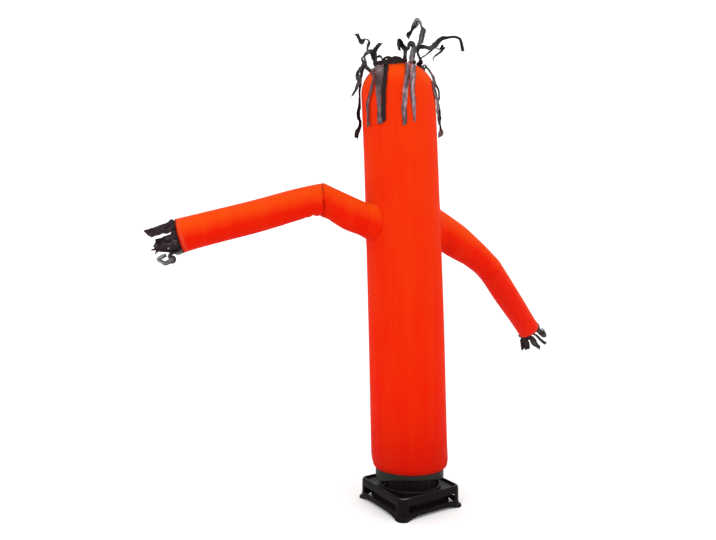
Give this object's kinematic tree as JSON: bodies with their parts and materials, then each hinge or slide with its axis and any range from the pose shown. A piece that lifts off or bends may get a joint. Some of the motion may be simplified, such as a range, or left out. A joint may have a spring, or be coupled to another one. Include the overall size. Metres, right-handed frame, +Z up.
{
  "type": "inflatable air dancer",
  "caption": "Inflatable air dancer: a tall cloth tube with bent sleeves, fringed cuffs and a ribbon crown, filled by air from the square blower stand that it grips.",
  "frame": {"origin": "on the floor at the middle of the blower stand", "axes": "+Z up along the tube, +X towards the right sleeve as seen from the front, +Y to the back, with the stand turned 5.5 degrees from the sleeves' line"},
  "size_m": [2.2644, 0.3826, 2.1176],
  "materials": {
    "orange_red_nylon": "satin coated nylon",
    "charcoal_ribbon": "satin ribbon",
    "black_plastic": "semi-gloss moulded",
    "dark_knob": "glossy"
  },
  "bodies": {
    "root": {"body_tube": "orange_red_nylon", "left_upper_arm": "orange_red_nylon", "left_forearm": "orange_red_nylon", "right_upper_arm": "orange_red_nylon", "right_forearm": "orange_red_nylon", "left_hand_fringe": "charcoal_ribbon", "right_hand_fringe": "charcoal_ribbon", "ribbon_hang_01": "charcoal_ribbon", "ribbon_hang_02": "charcoal_ribbon", "ribbon_hang_03": "charcoal_ribbon", "ribbon_hang_04": "charcoal_ribbon", "ribbon_hang_05": "charcoal_ribbon", "ribbon_hang_06": "charcoal_ribbon", "ribbon_hang_07": "charcoal_ribbon", "ribbon_hang_08": "charcoal_ribbon", "ribbon_hang_09": "charcoal_ribbon", "ribbon_hang_10": "charcoal_ribbon", "ribbon_hang_11": "charcoal_ribbon", "ribbon_hang_12": "charcoal_ribbon", "ribbon_hang_13": "charcoal_ribbon", "ribbon_hang_14": "charcoal_ribbon", "ribbon_lift_01": "charcoal_ribbon", "ribbon_lift_02": "charcoal_ribbon", "ribbon_lift_03": "charcoal_ribbon", "ribbon_lift_04": "charcoal_ribbon", "ribbon_lift_05": "charcoal_ribbon", "ribbon_lift_06": "charcoal_ribbon", "ribbon_lift_07": "charcoal_ribbon", "ribbon_lift_08": "charcoal_ribbon", "ribbon_lift_09": "charcoal_ribbon", "ribbon_lift_10": "charcoal_ribbon", "ribbon_lift_11": "charcoal_ribbon", "ribbon_lift_12": "charcoal_ribbon", "ribbon_lift_13": "charcoal_ribbon", "stand": "black_plastic", "outlet_collar": "black_plastic", "deck_ring": "black_plastic", "collar_knob_1": "dark_knob", "collar_knob_2": "dark_knob", "collar_knob_3": "dark_knob"}
  },
  "joints": []
}
